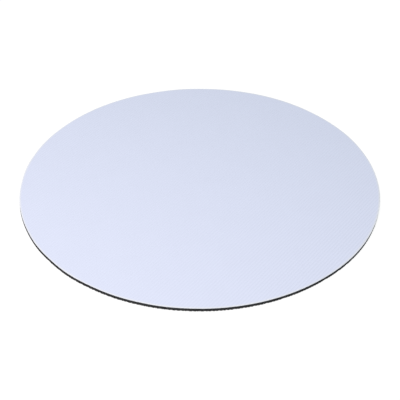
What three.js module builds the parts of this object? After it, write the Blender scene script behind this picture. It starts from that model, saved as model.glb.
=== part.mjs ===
// A round mouse pad: three sheets bonded into one slab, then cut to a disc by a single blade.
// From the desk up they are a sponge rubber base, a hot-melt film and a woven polyester face.
// Millimetres, +Z up. The origin is the middle of the underside, where the pad lies on the desk.
import * as THREE from "three";

// Sheets
const padDiameter = 200;
const rubberThickness = 1.7;
const filmThickness = 0.05;
const clothThickness = 0.25;

// Cut edge: the blade comes down through the cloth and draws its rim over,
// the squeezed sponge springs back with a hollow wall, and its foot keeps a small round.
const clothRimDrop = 0.12;
const clothRimReach = 0.5;
const wallHollow = 0.12;
const footRound = 0.08;

// Facets round the disc, and steps along each curve of an edge
const discFacets = 180;
const curveSteps = 3;

// Heights of the bonded faces, as the 32-bit numbers that a mesh stores, so that both sheets share them
const padRadius = padDiameter / 2;
const filmLevel = Math.fround(rubberThickness);
const clothLevel = Math.fround(filmLevel + Math.fround(filmThickness));

function spongeMaterial() {
  return new THREE.MeshStandardMaterial({ color: 0x313133, roughness: 0.92, metalness: 0 });
}

function filmMaterial() {
  return new THREE.MeshStandardMaterial({ color: 0x595959, roughness: 0.45, metalness: 0 });
}

function clothMaterial() {
  return new THREE.MeshStandardMaterial({ color: 0xdbe1f5, roughness: 0.85, metalness: 0 });
}

// Turns a half section, drawn from the axis out and back, about the upright axis.
function turned(section) {
  const solid = new THREE.LatheGeometry(section.getPoints(curveSteps), discFacets);
  return solid.rotateX(Math.PI / 2);
}

// A sheet of the slab, placed at the height of its lower face.
function sheet(name, section, material, level) {
  const piece = new THREE.Mesh(turned(section), material);
  piece.name = name;
  piece.position.z = level;
  return piece;
}

// Sponge sheet: flat underside, rounded foot, and a wall hollowed between its foot and its top rim.
function rubberBase() {
  const section = new THREE.Path();
  section.moveTo(0, 0);
  section.lineTo(padRadius - footRound, 0);
  section.absarc(padRadius - footRound, footRound, footRound, -Math.PI / 2, 0, false);
  const waist = (footRound + rubberThickness) / 2;
  section.quadraticCurveTo(padRadius - 2 * wallHollow, waist, padRadius, rubberThickness);
  section.lineTo(0, rubberThickness);
  return sheet("rubber_base", section, spongeMaterial(), 0);
}

// Film: a plain disc, cut flush with the sheets on both sides of it.
function bondFilm() {
  const section = new THREE.Path();
  section.moveTo(0, 0);
  section.lineTo(padRadius, 0);
  section.lineTo(padRadius, filmThickness);
  section.lineTo(0, filmThickness);
  return sheet("bond_film", section, filmMaterial(), filmLevel);
}

// Cloth: flat over the film, with its upper edge drawn over in a quarter of an oval by the blade.
function clothFace() {
  const shoulder = clothThickness - clothRimDrop;
  const section = new THREE.Path();
  section.moveTo(0, 0);
  section.lineTo(padRadius, 0);
  section.lineTo(padRadius, shoulder);
  section.absellipse(padRadius - clothRimReach, shoulder, clothRimReach, clothRimDrop, 0, Math.PI / 2, false);
  section.lineTo(0, clothThickness);
  return sheet("cloth_face", section, clothMaterial(), clothLevel);
}

const mousePad = new THREE.Group();
mousePad.name = "mouse_pad";
mousePad.add(rubberBase(), bondFilm(), clothFace());

export default mousePad;
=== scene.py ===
import math
import random

import bpy
import numpy as np
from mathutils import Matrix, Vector, noise
from mathutils.geometry import delaunay_2d_cdt


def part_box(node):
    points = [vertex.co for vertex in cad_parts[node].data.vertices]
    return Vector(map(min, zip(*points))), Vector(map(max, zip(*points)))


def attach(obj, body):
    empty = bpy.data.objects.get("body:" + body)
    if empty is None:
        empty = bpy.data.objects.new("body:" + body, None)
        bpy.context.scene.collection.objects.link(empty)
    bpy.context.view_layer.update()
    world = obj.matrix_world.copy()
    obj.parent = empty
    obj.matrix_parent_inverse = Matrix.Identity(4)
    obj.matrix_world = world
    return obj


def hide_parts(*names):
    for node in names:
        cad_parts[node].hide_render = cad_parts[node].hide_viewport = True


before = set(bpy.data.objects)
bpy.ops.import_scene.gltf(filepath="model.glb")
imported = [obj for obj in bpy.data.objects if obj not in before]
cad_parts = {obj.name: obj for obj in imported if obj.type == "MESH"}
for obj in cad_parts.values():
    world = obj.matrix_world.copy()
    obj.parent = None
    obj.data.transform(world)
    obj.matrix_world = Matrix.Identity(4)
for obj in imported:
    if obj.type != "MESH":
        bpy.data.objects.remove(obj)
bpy.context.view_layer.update()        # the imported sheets, already in their places
print("frame loaded:", ", ".join(sorted(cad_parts)))

mm = 0.001
fullTurn = 2 * math.pi
clothLow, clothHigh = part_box("cloth_face")
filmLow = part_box("bond_film")[0]
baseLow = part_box("rubber_base")[0]
padRadius = (clothHigh[0] - clothLow[0]) / 2
deskLevel, filmLevel, clothLevel, faceLevel = baseLow[2], filmLow[2], clothLow[2], clothHigh[2]


# Mesh tools

capSet = dict(
    fewest=40,                           # points in the last ring, which closes as a fan
    shrink=0.75,                         # size of each ring, to the one outside it
)


class Heap:              # points and faces, gathered ring by ring
    def __init__(self):
        self.points = []
        self.faces = []
        self.zones = []

    def zone(self, name):                # the faces from here on lie on this side of the piece
        self.zones.append((name, len(self.faces)))

    def add(self, xs, ys, zs):
        start = len(self.points)
        self.points += zip(np.asarray(xs).tolist(), np.asarray(ys).tolist(), np.asarray(zs).tolist())
        return list(range(start, len(self.points)))

    def ring(self, radii, heights, angles):
        level = np.zeros_like(angles)
        return self.add(radii * np.cos(angles), radii * np.sin(angles), heights + level)

    # The faces look outwards while the rings run out below, up the wall and in on top.
    def bridge(self, first, second):
        count = len(first)
        for i in range(count):
            j = (i + 1) % count
            self.faces.append((first[i], first[j], second[j], second[i]))

    def weld(self, fine, coarse, share, up=True):   # joins a fine ring to a coarse one inside it
        count, half = len(coarse), share // 2
        for i in range(count):
            here, following = coarse[i], coarse[(i + 1) % count]
            run = [fine[(i * share + k) % len(fine)] for k in range(share + 1)]
            made = [(run[k], run[k + 1], here if k < half else following) for k in range(share)]
            made.append((run[half], following, here))
            self.faces += made if up else [tuple(reversed(face)) for face in made]

    def cap(self, ring, height, up):     # flat end, coarser towards the middle
        while len(ring) % 2 == 0 and len(ring) > capSet["fewest"]:
            spots = np.array([self.points[n] for n in ring[::2]]) * capSet["shrink"]
            inner = self.add(spots[:, 0], spots[:, 1], np.full(len(spots), height))
            self.weld(ring, inner, 2, up)
            ring = inner
        middle = self.add([0.0], [0.0], [height])[0]
        for i, n in enumerate(ring):
            following = ring[(i + 1) % len(ring)]
            self.faces.append((n, following, middle) if up else (following, n, middle))

    def plan(self, n):                   # a point seen along the disc's axis
        return Vector(self.points[n][:2])


# Edges that turn by more than so many degrees stay crisp.
def makePiece(name, heap, material, places, crisp=50):
    used = sorted({n for face in heap.faces for n in face})
    order = {n: k for k, n in enumerate(used)}
    mesh = bpy.data.meshes.new(name)
    mesh.from_pydata([heap.points[n] for n in used], [], [[order[n] for n in face] for face in heap.faces])
    mesh.shade_smooth()
    mesh.set_sharp_from_angle(angle=math.radians(crisp))
    layMap(mesh, heap, places)
    mesh.update()
    piece = bpy.data.objects.new(name, mesh)
    bpy.context.collection.objects.link(piece)
    mesh.materials.append(material)
    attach(piece, "root")
    print(name, "made:", len(mesh.vertices), "points,", len(mesh.polygons), "faces")
    return piece


# Texture map of the piece, 0 to 1 both ways, by a rule for each zone

mapMiddle = 0.5


def layMap(mesh, heap, places):
    corners = [n for face in heap.faces for n in face]
    x, y, z = np.array(heap.points)[corners].T
    ends = np.cumsum([0] + [len(face) for face in heap.faces])
    spots = np.zeros((len(corners), 2), np.float32)
    stops = [start for name, start in heap.zones[1:]] + [len(heap.faces)]
    for (name, start), stop in zip(heap.zones, stops):
        part = slice(ends[start], ends[stop])
        spots[part] = np.stack(places[name](x[part], y[part], z[part]), axis=1)
    mesh.uv_layers.new(name="OFBake").uv.foreach_set("vector", spots.ravel())


def discPlace(size, middle=mapMiddle):   # the whole disc, seen along its axis
    return lambda x, y, z: (middle + size * x / padRadius, middle + size * y / padRadius)


def wallPlace(inner, outer, low, high):  # the wall, folded out into a ring
    def place(x, y, z):
        size = (inner + (outer - inner) * (z - low) / (high - low)) / np.hypot(x, y)
        return mapMiddle + size * x, mapMiddle + size * y
    return place


# Uneven lines round the disc

lineSet = dict(
    band=(0.8, 1.25),                    # each count of waves stands for a band of them
    waves=7,                             # in a band
    weakest=0.5,                         # of them, to the strongest
)


def turnAngles(count, start=0.0):
    return start + np.arange(count) * fullTurn / count


def unevenLine(count, turnWaves, seed):  # closes on itself, and runs from about -1 to 1
    dice = np.random.default_rng(seed)
    angles = turnAngles(count)
    line = np.zeros(count)
    for waves in turnWaves:
        for share in np.linspace(*lineSet["band"], lineSet["waves"]):
            start = dice.uniform(0, fullTurn)
            line += np.sin(angles * round(waves * share) + start) * dice.uniform(lineSet["weakest"], 1)
    return line / np.abs(line).max()


# Cut: one blade goes through all three sheets, a little off a true circle

bladeSet = dict(
    stray=0.18 * mm,
    strayWaves=(4, 9, 20),               # in a turn
    seed=31261,
    points=720,
)
strayLine = bladeSet["stray"] * unevenLine(bladeSet["points"], bladeSet["strayWaves"], bladeSet["seed"])


def cutStray(angles):                    # how far outside the true circle the cut lies
    return np.interp(angles, turnAngles(bladeSet["points"]), strayLine, period=fullTurn)


# Shader tools

noiseMost = (0.3, 0.7)                   # nearly all values of a noise lie in here
noiseCore = (0.35, 0.65)


class Sums:              # math nodes of one material, written as calls
    def __init__(self, tree):
        self.tree = tree

    def node(self, kind, **fields):
        made = self.tree.nodes.new(kind)
        for field, value in fields.items():
            setattr(made, field, value)
        return made

    def plug(self, socket, value):
        if isinstance(value, bpy.types.NodeSocket):
            self.tree.links.new(value, socket)
        else:
            socket.default_value = value

    def do(self, operation, *values):
        made = self.node("ShaderNodeMath", operation=operation)
        for socket, value in zip(made.inputs, values):
            self.plug(socket, value)
        return made.outputs[0]

    def mix(self, factor, first, second):   # sockets 6 and 7 take the colours, and 2 gives one
        made = self.node("ShaderNodeMix", data_type="RGBA")
        self.plug(made.inputs[0], factor)
        self.plug(made.inputs[6], first)
        self.plug(made.inputs[7], second)
        return made.outputs[2]

    def blend(self, factor, first, second):
        return self.do("MULTIPLY_ADD", factor, self.do("SUBTRACT", second, first), first)

    def noise(self, vector, scale, detail=2.0, rough=0.5):
        made = self.node("ShaderNodeTexNoise")
        self.plug(made.inputs["Vector"], vector)
        made.inputs["Scale"].default_value = scale
        made.inputs["Detail"].default_value = detail
        made.inputs["Roughness"].default_value = rough
        return made.outputs["Fac"]

    def cells(self, vector, scale):      # distance from the middle of the nearest cell
        made = self.node("ShaderNodeTexVoronoi", feature="F1")
        self.plug(made.inputs["Vector"], vector)
        made.inputs["Scale"].default_value = scale
        return made.outputs["Distance"]

    def reach(self, vector):             # distance from the origin
        made = self.node("ShaderNodeVectorMath", operation="LENGTH")
        self.plug(made.inputs[0], vector)
        return made.outputs["Value"]

    def span(self, value, low, high, newLow=0.0, newHigh=1.0):
        made = self.node("ShaderNodeMapRange")
        self.plug(made.inputs["Value"], value)
        made.inputs["From Min"].default_value = low
        made.inputs["From Max"].default_value = high
        made.inputs["To Min"].default_value = newLow
        made.inputs["To Max"].default_value = newHigh
        return made.outputs["Result"]

    def bump(self, height, distance, strength=1.0):
        made = self.node("ShaderNodeBump")
        self.plug(made.inputs["Height"], height)
        made.inputs["Distance"].default_value = distance
        made.inputs["Strength"].default_value = strength
        return made.outputs["Normal"]


def newMaterial(name):
    material = bpy.data.materials.new(name)
    material.use_nodes = True
    tree = material.node_tree
    shader = tree.nodes["Principled BSDF"]
    place = tree.nodes.new("ShaderNodeTexCoord").outputs["Object"]
    return material, Sums(tree), shader, place


# Woven cloth: a fine even twill, at the pad's own scale, with painted shade in its gaps and on the weft

weave = dict(
    pitch=0.38 * mm,                     # yarn to yarn, both ways
    repeat=6,                            # three over, three under, one step aside each row
    grain=math.radians(-9),              # turn of the cloth before it was cut
    warpMiddle=1.0, weftMiddle=2.0,      # middle of a float, in yarns
    warpColor=(0.731, 0.770, 0.936, 1),
    # the weft is the warp's colour with a little painted shade, for yarns lying the other way to the light
    weftShadeColor=(0.716, 0.755, 0.921, 1),
    # painted shade: the weave's gaps and its diving yarns are darker
    gapShadeColor=(0.600, 0.640, 0.788, 1),
    gapShadeHeights=(0.05, 0.6),              # between these heights the painted shade of the gaps goes over to the yarn's colour
    lintColor=(0.800, 0.812, 0.862, 1),
    lintBand=1.0 * mm,                   # the blade roughens the yarns this far in from the cut
    yarnDepth=0.010 * mm,                # relief of a yarn, and of the slanting ribs that the floats make
    ribDepth=0.125 * mm,
    lift=(0.45, 1.0),                    # height of a yarn that goes under, and over
    diveSwing=0.35,                      # the smaller, the steeper it goes under
    wander=0.06,                         # yarns stray by this share of the pitch
    wanderScale=160,                     # of the noise, to the metre
    filaments=6,                         # lines across a yarn
    filamentScale=0.6,                   # along a yarn, to its pitch
    filamentDepth=0.3,                   # share of a yarn's relief
    yarnTone=0.002,
    toneStarts=(0.37, 71.3),             # warp and weft draw their tones from here on
    cloudTone=0.005,
    cloudScale=55,
    roughness=(0.95, 0.78),              # in a gap, and on a yarn
    specular=0.25,
    sheen=0.12,
    sheenRoughness=0.5,
    mapRepeats=16,
    mapAside=20,                         # the hidden side lies off the picture
)
ribTurn = fullTurn / weave["repeat"]     # turn of the wave for each yarn passed


def wovenPolyester():
    material, sums, shader, place = newMaterial("wovenPolyester")
    across, along = yarnCounts(sums, place)
    warp = yarnHeight(sums, across, along, weave["warpMiddle"])
    weft = yarnHeight(sums, along, across, weave["weftMiddle"])
    height = sums.do("MAXIMUM", warp, weft)
    onTop = sums.do("GREATER_THAN", warp, weft)
    lines = sums.blend(onTop, filamentLines(sums, along, across), filamentLines(sums, across, along))
    slant = sums.do("SUBTRACT", across, along)
    rib = sums.do("COSINE", sums.do("MULTIPLY_ADD", slant, ribTurn, -ribTurn * weave["warpMiddle"]))
    relief = sums.do("MULTIPLY_ADD", lines, weave["filamentDepth"], height)
    relief = sums.do("MULTIPLY_ADD", rib, weave["ribDepth"] / weave["yarnDepth"] / 2, relief)
    # painted shade: where the weft floats on top, the yarn is a little darker
    yarn = sums.mix(onTop, weave["weftShadeColor"], weave["warpColor"])
    # painted shade: the colour darkens low in the weave, in the gaps and where a yarn dives under
    color = sums.mix(sums.span(height, *weave["gapShadeHeights"]), weave["gapShadeColor"], yarn)
    lint = sums.span(sums.reach(place), padRadius - weave["lintBand"], padRadius)
    color = sums.mix(lint, color, weave["lintColor"])
    clouds = sums.noise(place, weave["cloudScale"], detail=3.0)
    cloud = sums.span(clouds, *noiseMost, 1 - weave["cloudTone"], 1 + weave["cloudTone"])
    dim = sums.node("ShaderNodeHueSaturation")
    sums.plug(dim.inputs["Value"], sums.do("ADD", cloud, yarnTone(sums, across, along)))
    sums.plug(dim.inputs["Color"], color)
    sums.plug(shader.inputs["Base Color"], dim.outputs[0])
    sums.plug(shader.inputs["Roughness"], sums.span(height, 0, 1, *weave["roughness"]))
    sums.plug(shader.inputs["Normal"], sums.bump(relief, weave["yarnDepth"]))
    shader.inputs["Specular IOR Level"].default_value = weave["specular"]
    shader.inputs["Sheen Weight"].default_value = weave["sheen"]
    shader.inputs["Sheen Roughness"].default_value = weave["sheenRoughness"]
    return material


def yarnCounts(sums, place):             # place in the weave, counted in yarns both ways
    turn = sums.node("ShaderNodeMapping")
    sums.plug(turn.inputs["Vector"], place)
    turn.inputs["Rotation"].default_value = (0, 0, weave["grain"])
    split = sums.node("ShaderNodeSeparateXYZ")
    sums.plug(split.inputs[0], turn.outputs[0])
    swings = sums.noise(place, weave["wanderScale"], detail=1.0)
    stray = sums.span(swings, 0, 1, -weave["wander"], weave["wander"])
    return [sums.do("MULTIPLY_ADD", split.outputs[axis], 1 / weave["pitch"], stray) for axis in "XY"]


def yarnHeight(sums, across, along, middle):   # round yarn that floats over three and dives under three
    number = sums.do("FLOOR", across)
    off = sums.do("SUBTRACT", sums.do("MULTIPLY", sums.do("FRACT", across), 2.0), 1.0)
    crown = sums.do("SUBTRACT", 1.0, sums.do("MULTIPLY", off, off))
    place = sums.do("ADD", sums.do("SUBTRACT", number, along), 0.5 - middle)
    swing = sums.do("COSINE", sums.do("MULTIPLY", place, ribTurn))
    lift = sums.span(swing, -weave["diveSwing"], weave["diveSwing"], *weave["lift"])
    return sums.do("MULTIPLY", crown, lift)


def filamentLines(sums, across, along):  # fine lines that run along a yarn
    stretch = sums.node("ShaderNodeCombineXYZ")
    sums.plug(stretch.inputs["X"], sums.do("MULTIPLY", across, weave["filaments"]))
    sums.plug(stretch.inputs["Y"], sums.do("MULTIPLY", along, weave["filamentScale"]))
    return sums.noise(stretch.outputs[0], 1.0, detail=1.0)


def yarnTone(sums, across, along):       # each yarn a little lighter or darker than the next
    tones = []
    for run, start in zip((across, along), weave["toneStarts"]):
        dice = sums.node("ShaderNodeTexWhiteNoise", noise_dimensions="1D")
        sums.plug(dice.inputs["W"], sums.do("ADD", sums.do("FLOOR", run), start))
        tones.append(sums.span(dice.outputs["Value"], 0, 1, -weave["yarnTone"], weave["yarnTone"]))
    return sums.do("ADD", *tones)


def weavePlace(away=0.0):                # map that repeats with the weave, so that its yarns stay sharp
    tile = weave["mapRepeats"] * weave["repeat"] * weave["pitch"]
    c, s = math.cos(weave["grain"]), math.sin(weave["grain"])

    def place(x, y, z):
        radius = np.hypot(x, y)
        atRim = radius > padRadius - clothSet["rimBand"]
        stretch = 1 + np.where(atRim, faceLevel - z, 0) / np.maximum(radius, mm)
        x, y = x * stretch, y * stretch
        return (x * c - y * s) / tile + mapMiddle + away, (x * s + y * c) / tile + mapMiddle
    return place


# Cut yarn: the blade opens the ends to a whiter core

cutSet = dict(
    skinColor=(0.745, 0.780, 0.905, 1),
    coreColor=(0.840, 0.850, 0.900, 1),
    lintScale=5200,                      # of the noise, to the metre
    lintDepth=0.02 * mm,
    lintStrength=0.6,
    roughness=(0.8, 0.95),
)


def cutYarn():
    material, sums, shader, place = newMaterial("cutYarn")
    lint = sums.noise(place, cutSet["lintScale"])
    color = sums.mix(sums.span(lint, *noiseCore), cutSet["skinColor"], cutSet["coreColor"])
    sums.plug(shader.inputs["Base Color"], color)
    sums.plug(shader.inputs["Roughness"], sums.span(lint, *noiseMost, *cutSet["roughness"]))
    sums.plug(shader.inputs["Normal"], sums.bump(lint, cutSet["lintDepth"], cutSet["lintStrength"]))
    shader.inputs["Specular IOR Level"].default_value = weave["specular"]
    shader.inputs["Sheen Weight"].default_value = weave["sheen"]
    return material


# Sponge rubber: charcoal, fine cells with painted shade in their pits, a paler bloom here and there

sponge = dict(
    bodyColor=(0.031, 0.031, 0.033, 1),
    # painted shade in the pits of the cells
    cellShadeColor=(0.013, 0.013, 0.014, 1),
    cellScale=2600,                      # cells in a metre
    cellShadeSpan=(0.15, 0.55),               # between these the painted shade of a cell's pit goes over to the body's colour
    bloomColor=(0.068, 0.068, 0.070, 1),
    bloomScale=900,
    bloomSpan=(0.52, 0.78),
    bloomShare=0.6,
    grainScale=5200,
    grainShare=0.5,                      # of the relief, to the cells
    depth=0.05 * mm,
    strength=0.8,
    roughness=(0.82, 0.97),
    specular=0.3,
)


def spongeRubber():
    material, sums, shader, place = newMaterial("spongeRubber")
    cells = sums.cells(place, sponge["cellScale"])
    grain = sums.noise(place, sponge["grainScale"], detail=3.0, rough=0.6)
    # painted shade: the cells' pits, low in the relief, are darker
    body = sums.mix(sums.span(cells, *sponge["cellShadeSpan"]), sponge["cellShadeColor"], sponge["bodyColor"])
    clouds = sums.noise(place, sponge["bloomScale"], detail=4.0, rough=0.65)
    bloom = sums.do("MULTIPLY", sums.span(clouds, *sponge["bloomSpan"]), sponge["bloomShare"])
    sums.plug(shader.inputs["Base Color"], sums.mix(bloom, body, sponge["bloomColor"]))
    sums.plug(shader.inputs["Roughness"], sums.span(grain, *noiseMost, *sponge["roughness"]))
    relief = sums.do("ADD", cells, sums.do("MULTIPLY", grain, sponge["grainShare"]))
    sums.plug(shader.inputs["Normal"], sums.bump(relief, sponge["depth"], sponge["strength"]))
    shader.inputs["Specular IOR Level"].default_value = sponge["specular"]
    return material


# Hot-melt film: dark grey over the rubber, smooth

meltSet = dict(
    thinColor=(0.07, 0.07, 0.07, 1),
    thickColor=(0.13, 0.13, 0.13, 1),
    cloudScale=1400,
    depth=0.03 * mm,
    strength=0.5,
    roughness=(0.35, 0.6),
)


def hotMeltFilm():
    material, sums, shader, place = newMaterial("hotMeltFilm")
    cloud = sums.noise(place, meltSet["cloudScale"], detail=3.0)
    color = sums.mix(sums.span(cloud, *noiseCore), meltSet["thinColor"], meltSet["thickColor"])
    sums.plug(shader.inputs["Base Color"], color)
    sums.plug(shader.inputs["Roughness"], sums.span(cloud, *noiseMost, *meltSet["roughness"]))
    sums.plug(shader.inputs["Normal"], sums.bump(cloud, meltSet["depth"], meltSet["strength"]))
    return material


# Cloth face

clothSet = dict(
    cells=150,                           # squares across the flat of the face
    columnsPerCell=4,                    # rim points for each edge square
    rimSteps=(1.15, 0.75, 0.5, 0.32, 0.18, 0.08, 0.025, 0.0),   # mm in from the cut
    rimBand=1.7 * mm,
    rimReach=0.5 * mm,
    rimDrop=0.12 * mm,
    ripple=0.012 * mm,                   # the sponge shows through a little
    rippleSize=7 * mm,
    rippleSlice=4.0,                     # through the noise
    rippleSink=0.6,                      # keeps most of its crests below the frame's own face
    ragged=0.05 * mm,
    raggedWaves=(180, 520, 1100),        # in a turn
    seed=11,
)


def faceHeight(x, y):
    size = clothSet["rippleSize"]
    swell = noise.noise(Vector((x / size, y / size, clothSet["rippleSlice"])))
    return faceLevel + clothSet["ripple"] * (swell - clothSet["rippleSink"])


def squareToDisc(a, b):                  # evenly spaced rim, no pole in the middle
    if a == 0 and b == 0:
        return 0.0, 0.0
    if abs(a) > abs(b):
        radius, angle = a, math.pi / 4 * b / a
    else:
        radius, angle = b, math.pi / 2 - math.pi / 4 * a / b
    return radius * math.cos(angle), radius * math.sin(angle)


def flatFace(heap):                      # gives the points along its edge, from the front right on
    cells = clothSet["cells"]
    inner = padRadius - clothSet["rimBand"]
    steps = [2 * i / cells - 1 for i in range(cells + 1)]
    grid = []
    for b in steps:
        xs, ys = inner * np.array([squareToDisc(a, b) for a in steps]).T
        grid.append(heap.add(xs, ys, [faceHeight(x, y) for x, y in zip(xs, ys)]))
    for j in range(cells):
        for i in range(cells):
            heap.faces.append((grid[j][i], grid[j][i + 1], grid[j + 1][i + 1], grid[j + 1][i]))
    edge = [grid[j][cells] for j in range(cells)] + [grid[cells][i] for i in range(cells, 0, -1)]
    return edge + [grid[j][0] for j in range(cells, 0, -1)] + [grid[0][i] for i in range(cells)]


def rimRing(heap, inset, jag, angles):   # a ring of the face, at this distance from the cut
    off = max(0.0, 1 - inset / clothSet["rimReach"])
    radii = padRadius - inset + jag * off
    drop = clothSet["rimDrop"] * (1 - math.sqrt(1 - off * off))
    heights = [faceHeight(r * math.cos(a), r * math.sin(a)) - drop for r, a in zip(radii, angles)]
    return heap.ring(radii, np.array(heights), angles)


def clothFace(material):
    heap = Heap()
    heap.zone("face")
    edge = flatFace(heap)
    share = clothSet["columnsPerCell"]
    angles = turnAngles(len(edge) * share, -math.pi / 4)   # from the same corner on
    jag = clothSet["ragged"] * unevenLine(len(angles), clothSet["raggedWaves"], clothSet["seed"])
    jag += cutStray(angles)
    rings = [heap.ring(padRadius + jag, clothLevel, angles)]
    rings += [rimRing(heap, step * mm, jag, angles) for step in reversed(clothSet["rimSteps"])]
    for first, second in zip(rings, rings[1:]):
        heap.bridge(first, second)
    heap.weld(rings[-1], edge, share)
    heap.zone("glued")
    heap.cap(rings[0], clothLevel, up=False)
    places = dict(face=weavePlace(), glued=weavePlace(weave["mapAside"]))
    return makePiece("woven_face", heap, material, places)


# Cut yarn ends and loose fibres round the rim

threadSet = dict(
    seed=23,
    wide=0.15 * mm, tall=0.075 * mm,     # half sizes of a yarn
    sides=6,
    root=0.35 * mm,                      # length held in the cloth
    level=(0.08 * mm, 0.14 * mm),        # of its middle, over the film
    reach=(0.00 * mm, 0.08 * mm),        # past the cut
    droop=0.04 * mm,
    taper=(0.6, 0.9),                    # size of its end
    steepest=0.30,                       # yarns flatter to the rim than this have no end there
    fibres=260,
    fibreRadius=0.012 * mm,
    fibreSizes=(1, 1, 1, 0.9, 0.5),      # from root to tip
    fibreSides=3,
    fibreLength=(0.25 * mm, 0.9 * mm),
    fibreLevel=(0.06 * mm, 0.2 * mm),
    fibreSlant=1.2,                      # radians, to both sides of straight out
    fibreRise=(-0.5, 0.3),
    fibreBend=0.06,                      # share of its length, at each step
    fibreSag=(-1, 0.4),                  # it bends down more than up
    crisp=75,                            # degrees
    mapSize=0.49,
)


def tube(heap, spine, sizes, sideways, sides):
    turns = turnAngles(sides)
    rings = []
    for point, (wide, tall) in zip(spine, sizes):
        xs = point.x + sideways.x * wide * np.cos(turns)
        ys = point.y + sideways.y * wide * np.cos(turns)
        rings.append(heap.add(xs, ys, point.z + tall * np.sin(turns)))
    for first, second in zip(rings, rings[1:]):
        heap.bridge(first, second)
    heap.faces.append(tuple(reversed(rings[0])))
    heap.faces.append(tuple(rings[-1]))


def yarnEnd(heap, spot, outward, dice):
    lift = Vector((0, 0, clothLevel + dice.uniform(*threadSet["level"])))
    reach = dice.uniform(*threadSet["reach"])
    drop = Vector((0, 0, dice.uniform(0, threadSet["droop"])))
    root, tip = spot - outward * threadSet["root"], spot + outward * reach
    wide, tall = threadSet["wide"], threadSet["tall"]
    end = (wide * dice.uniform(*threadSet["taper"]), tall * dice.uniform(*threadSet["taper"]))
    spine = [root + lift, spot + lift, tip + lift - drop]
    sideways = Vector((-outward.y, outward.x, 0))
    tube(heap, spine, [(wide, tall), (wide, tall), end], sideways, threadSet["sides"])


def looseFibre(heap, dice):
    angle = dice.uniform(0, fullTurn)
    heading = angle + dice.uniform(-threadSet["fibreSlant"], threadSet["fibreSlant"])
    length = dice.uniform(*threadSet["fibreLength"])
    level = clothLevel + dice.uniform(*threadSet["fibreLevel"])
    rim = padRadius + cutStray(angle)
    spot = Vector((rim * math.cos(angle), rim * math.sin(angle), level))
    steps = len(threadSet["fibreSizes"]) - 1
    rise = dice.uniform(*threadSet["fibreRise"])
    step = Vector((math.cos(heading), math.sin(heading), rise)) * length / steps
    spine = [spot - step]
    for k in range(steps):
        spine.append(spine[-1] + step)
        bend = Vector((dice.uniform(-1, 1), dice.uniform(-1, 1), dice.uniform(*threadSet["fibreSag"])))
        step = step + bend * length * threadSet["fibreBend"]
    radii = [threadSet["fibreRadius"] * size for size in threadSet["fibreSizes"]]
    sideways = Vector((-math.sin(heading), math.cos(heading), 0))
    tube(heap, spine, list(zip(radii, radii)), sideways, threadSet["fibreSides"])


def cutThreads(material):
    dice = random.Random(threadSet["seed"])
    heap = Heap()
    heap.zone("ends")
    pitch = weave["pitch"]
    yarns = int(padRadius / pitch)
    for direction in (math.pi / 2 - weave["grain"], -weave["grain"]):
        along = Vector((math.cos(direction), math.sin(direction), 0))
        aside = Vector((-along.y, along.x, 0))
        for number in range(-yarns, yarns):
            offset = (number + 0.5) * pitch
            half = math.sqrt(padRadius ** 2 - offset ** 2)
            if half / padRadius > threadSet["steepest"]:
                for way in (1, -1):
                    spot = aside * offset + along * (half * way)
                    spot *= 1 + cutStray(math.atan2(spot.y, spot.x)) / padRadius
                    yarnEnd(heap, spot, along * way, dice)
    for k in range(threadSet["fibres"]):
        looseFibre(heap, dice)
    places = dict(ends=discPlace(threadSet["mapSize"]))
    return makePiece("cut_threads", heap, material, places, threadSet["crisp"])


# Hot-melt film

filmSet = dict(
    columns=1440,
    inset=0.02 * mm,
    bulge=0.02 * mm,                     # half way up its edge
    uneven=0.04 * mm,
    unevenWaves=(90, 310),               # in a turn
    seed=5,
    wallMap=(0.46, 0.495),
    gluedMap=0.455,
)


def bondFilm(material):
    heap = Heap()
    angles = turnAngles(filmSet["columns"])
    edge = padRadius + cutStray(angles) - filmSet["inset"]
    edge += filmSet["uneven"] * unevenLine(len(angles), filmSet["unevenWaves"], filmSet["seed"])
    rings = [
        heap.ring(edge - filmSet["bulge"], filmLevel, angles),
        heap.ring(edge, (filmLevel + clothLevel) / 2, angles),
        heap.ring(edge - filmSet["bulge"], clothLevel, angles),
    ]
    heap.zone("wall")
    for first, second in zip(rings, rings[1:]):
        heap.bridge(first, second)
    heap.zone("glued")
    heap.cap(rings[0], filmLevel, up=False)
    heap.cap(rings[-1], clothLevel, up=True)
    wall = wallPlace(*filmSet["wallMap"], filmLevel, clothLevel)
    places = dict(wall=wall, glued=discPlace(filmSet["gluedMap"]))
    return makePiece("glue_film", heap, material, places)


# Sponge base: cut wall with open cells, underside pressed with a diamond grip

baseSet = dict(
    columns=2520,
    rows=(0.0, 0.05, 0.14, 0.25, 0.37, 0.5, 0.63, 0.75, 0.86, 0.95, 1.0),   # shares of the wall's height
    hollow=0.12 * mm,
    flare=0.02 * mm,                     # the blade leaves the foot a little wider
    lean=(-0.10 * mm, -0.18 * mm),       # and a little to the front left
    footHeight=0.06 * mm,                # round along the foot
    footDepth=0.048 * mm,
    ragged=0.05 * mm,
    raggedWaves=(70, 260, 700),          # in a turn
    raggedSeed=17,
    pores=9000,
    poreRadius=(0.10 * mm, 0.34 * mm),
    poreDepth=0.8,                       # share of the pore's radius
    poreFoot=0.2, poreTop=0.3,           # shares of that depth that the two rims have
    poreSeed=31,
    gripPitch=1.6 * mm,
    gripHalf=0.30 * mm,                  # half width of a groove
    gripDepth=0.38 * mm,
    gripTurn=math.radians(32),
    gripMargin=0.7 * mm,                 # diamonds nearer to the cut than this are cut through
    undersideMap=0.425,
    wallMap=(0.43, 0.495),
    gluedMap=(0.05, 0.07),               # small, in a corner, because it is hidden
)
gripCos, gripSin = math.cos(baseSet["gripTurn"]), math.sin(baseSet["gripTurn"])


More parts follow.
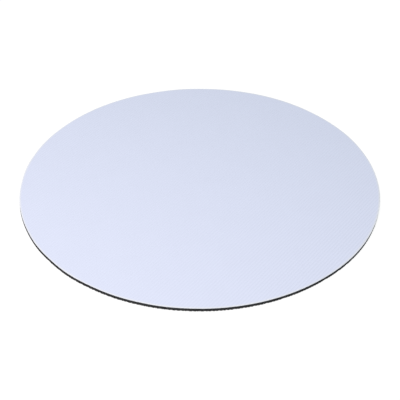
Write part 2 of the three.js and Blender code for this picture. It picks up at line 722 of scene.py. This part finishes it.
def gripHeight(x, y):
    pitch = baseSet["gripPitch"]
    rise = np.zeros_like(x)
    for run in (x * gripCos + y * gripSin, y * gripCos - x * gripSin):
        off = abs(run / pitch - np.round(run / pitch)) * pitch
        rise = np.maximum(rise, baseSet["gripDepth"] * np.maximum(0.0, 1 - off / baseSet["gripHalf"]))
    return deskLevel + rise


def gripPoint(heap, x, y):
    return heap.add([x], [y], gripHeight(np.array([x]), np.array([y])))[0]


def gripCell(spot):                      # the diamond that it lies in
    a, b = spot.x * gripCos + spot.y * gripSin, spot.y * gripCos - spot.x * gripSin
    return math.floor(a / baseSet["gripPitch"]), math.floor(b / baseSet["gripPitch"])


def wallPores(angles, heights):          # how deep the open cells are at each point of the wall
    dice = np.random.default_rng(baseSet["poreSeed"])
    depth = np.zeros_like(heights)
    columns = len(angles)
    step = fullTurn * padRadius / columns
    for k in range(baseSet["pores"]):
        radius = baseSet["poreRadius"][0] + np.ptp(baseSet["poreRadius"]) * dice.random() ** 2
        at = dice.uniform(0, columns)
        level = dice.uniform(deskLevel, filmLevel)
        reach = int(radius / step) + 1
        near = np.arange(int(at) - reach, int(at) + reach + 1)
        gap = ((near - at) * step) ** 2 + (heights[:, near % columns] - level) ** 2
        dent = baseSet["poreDepth"] * radius * np.maximum(0.0, 1 - gap / radius ** 2)
        depth[:, near % columns] = np.maximum(depth[:, near % columns], dent)
    depth[0] *= baseSet["poreFoot"]
    depth[-1] *= baseSet["poreTop"]
    return depth


def spongeBase(material):
    heap = Heap()
    angles = turnAngles(baseSet["columns"])
    edge = padRadius + cutStray(angles)
    leanX, leanY = baseSet["lean"]
    spread = baseSet["flare"] + leanX * np.cos(angles) + leanY * np.sin(angles)
    spread += baseSet["ragged"] * unevenLine(len(angles), baseSet["raggedWaves"], baseSet["raggedSeed"])
    foot = gripHeight((edge + spread) * np.cos(angles), (edge + spread) * np.sin(angles))
    shares = np.array(baseSet["rows"])[:, None]
    heights = foot + (filmLevel - foot) * shares
    radii = edge - baseSet["hollow"] * 4 * shares * (1 - shares) + spread * (1 - shares) ** 2
    low = np.clip(1 - (heights - deskLevel) / baseSet["footHeight"], 0, 1)
    radii -= baseSet["footDepth"] * (1 - np.sqrt(1 - low ** 2))
    radii -= wallPores(angles, heights)
    rings = [heap.ring(radii[k], heights[k], angles) for k in range(len(shares))]
    heap.zone("underside")
    chains = gripUnderside(heap, rings[0])
    heap.zone("wall")
    for k, chain in enumerate(chains):   # the lowest row also holds the points that the grooves add
        heap.faces.append((*chain, rings[1][(k + 1) % len(chains)], rings[1][k]))
    for first, second in zip(rings[1:], rings[2:]):
        heap.bridge(first, second)
    heap.zone("glued")
    heap.cap(rings[-1], filmLevel, up=True)
    places = dict(
        underside=discPlace(baseSet["undersideMap"]),
        wall=wallPlace(*baseSet["wallMap"], deskLevel, filmLevel),
        glued=discPlace(*baseSet["gluedMap"]),
    )
    return makePiece("sponge_base", heap, material, places)


def gripUnderside(heap, rim):            # gives the points along each side of the rim
    pitch, low = baseSet["gripPitch"], baseSet["gripHalf"] / baseSet["gripPitch"]
    high = 1 - low
    reach = int(padRadius / pitch) + 2
    points = {}

    def point(a, b):                     # numbered by its place in the pattern, shared by neighbours
        spot = (round(a, 6), round(b, 6))
        if spot not in points:
            x, y = a * gripCos - b * gripSin, a * gripSin + b * gripCos
            points[spot] = gripPoint(heap, x * pitch, y * pitch)
        return points[spot]

    whole, creases = set(), set()
    corners = ((0, 0), (1, 0), (1, 1), (0, 1))
    for i in range(-reach, reach):
        for j in range(-reach, reach):
            distances = [math.hypot(i + p, j + q) * pitch for p, q in corners]
            if min(distances) > padRadius + pitch:
                continue
            valley = [point(i + p, j + q) for p, q in corners]
            land = [point(i + p, j + q) for p, q in ((low, low), (high, low), (high, high), (low, high))]
            if max(distances) < padRadius - baseSet["gripMargin"]:
                whole.add((i, j))
                heap.faces.append(tuple(reversed(land)))
            for k in range(4):
                n = (k + 1) % 4
                if (i, j) in whole:
                    heap.faces.append((valley[k], land[k], land[n], valley[n]))
                else:
                    sides = ((valley[k], valley[n]), (land[k], land[n]), (valley[k], land[k]))
                    creases.update(tuple(sorted(side)) for side in sides)
    return cutThrough(heap, rim, sorted(creases), whole)


def cutThrough(heap, rim, creases, whole):   # the diamonds that the blade went through
    insideOnly, near = 1, 1e-5           # kind of result, and mm within which points are one
    following = rim[1:] + rim[:1]
    used = sorted({n for side in creases for n in side}) + rim
    order = {n: k for k, n in enumerate(used)}
    sides = [(order[a], order[b]) for a, b in [*zip(rim, following), *creases]]
    plan = [heap.plan(n) / mm for n in used]
    spots, edges, faces, oldPoints, oldSides = delaunay_2d_cdt(plan, sides, [], insideOnly, near)[:5]
    numbers = []
    for spot, olds in zip(spots, oldPoints):
        numbers.append(used[olds[0]] if olds else gripPoint(heap, spot.x * mm, spot.y * mm))
    for face in faces:
        middle = sum((spots[k] for k in face), Vector((0, 0))) * mm / len(face)
        if insideRim(heap, rim, middle) and gripCell(middle) not in whole:
            heap.faces.append(tuple(numbers[k] for k in reversed(face)))
    between = [set() for n in rim]
    for edge, olds in zip(edges, oldSides):
        for side in olds:
            if side < len(rim):          # the rim's own sides were given first
                between[side].update(numbers[k] for k in edge)
    chains = []
    for first, last, added in zip(rim, following, between):
        start = heap.plan(first)
        run = sorted(added - {first, last}, key=lambda n: (heap.plan(n) - start).length)
        chains.append([first, *run, last])
    return chains


def insideRim(heap, rim, spot):          # tested against the rim's side at the same angle
    k = math.floor(math.atan2(spot.y, spot.x) / fullTurn * len(rim)) % len(rim)
    first, second = heap.plan(rim[k]), heap.plan(rim[(k + 1) % len(rim)])
    return (second - first).cross(spot - first) > 0


# Stage: pale floor, soft light from the front left, camera

stageSet = dict(
    floorSize=8.0,
    floorDrop=0.02 * mm,                 # below the pad, so that their faces don't share a plane
    floorColor=(0.16, 0.16, 0.16, 1),
    glowColor=(1, 1, 1, 1),
    floorGlow=(0.90, 0.98),              # round the pad, and away from it
    glowReach=(0.15, 0.45),
    skyLight=(0.315, 0.388, 0.394, 1),
    skyShown=(1, 1, 1, 1),               # white beyond the floor
    keyPlace=(-0.229, -0.248, 0.681),
    keyColor=(1.0, 0.90, 0.885),
    keySize=0.35,
    keyPower=4.667,
    elevation=math.radians(38.095),
    distance=0.55,
    aim=(0.00016, -0.015365),
    lens=90.22,
    sensor=36,
    clipStart=0.01,
)


def makeFloor():
    middle = (0, 0, deskLevel - stageSet["floorDrop"])
    bpy.ops.mesh.primitive_plane_add(size=stageSet["floorSize"], location=middle)
    floor = bpy.context.object
    floor.name = "floor"
    material, sums, shader, place = newMaterial("paleFloor")
    shader.inputs["Base Color"].default_value = stageSet["floorColor"]
    shader.inputs["Roughness"].default_value = 1.0
    shader.inputs["Specular IOR Level"].default_value = 0.0
    shader.inputs["Emission Color"].default_value = stageSet["glowColor"]
    glow = sums.span(sums.reach(place), *stageSet["glowReach"], *stageSet["floorGlow"])
    sums.plug(shader.inputs["Emission Strength"], glow)
    material.cycles.emission_sampling = "NONE"   # the glow only whitens the floor
    floor.data.materials.append(material)


def makeSky():
    world = bpy.data.worlds.new("studio")
    world.use_nodes = True
    world.cycles.sampling_method = "NONE"        # it is even all round
    sums = Sums(world.node_tree)
    seen = sums.node("ShaderNodeLightPath").outputs["Is Camera Ray"]
    color = sums.mix(seen, stageSet["skyLight"], stageSet["skyShown"])
    sums.plug(world.node_tree.nodes["Background"].inputs["Color"], color)
    bpy.context.scene.world = world


def makeKeyLight():
    key = bpy.data.objects.new("keyLight", bpy.data.lights.new("keyLight", "AREA"))
    key.data.size = stageSet["keySize"]
    key.data.energy = stageSet["keyPower"]
    key.data.color = stageSet["keyColor"]
    key.location = stageSet["keyPlace"]
    key.rotation_euler = (-key.location).to_track_quat("-Z", "Y").to_euler()
    bpy.context.collection.objects.link(key)


def makeCamera():
    camera = bpy.data.objects.new("camera", bpy.data.cameras.new("camera"))
    camera.data.lens = stageSet["lens"]
    camera.data.sensor_width = stageSet["sensor"]
    camera.data.clip_start = stageSet["clipStart"]
    tilt = stageSet["elevation"]
    back = Vector((0, -math.cos(tilt), math.sin(tilt))) * stageSet["distance"]
    camera.location = Vector((*stageSet["aim"], faceLevel)) + back
    camera.rotation_euler = (math.pi / 2 - tilt, 0, 0)
    bpy.context.collection.objects.link(camera)
    bpy.context.scene.camera = camera


makeFloor()
makeSky()
makeKeyLight()
makeCamera()
bpy.context.scene.view_settings.view_transform = "Standard"
print("stage and camera set")

base = spongeBase(spongeRubber())
film = bondFilm(hotMeltFilm())
threads = cutThreads(cutYarn())
cloth = clothFace(wovenPolyester())

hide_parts("rubber_base")
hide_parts("bond_film")
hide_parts("cloth_face")
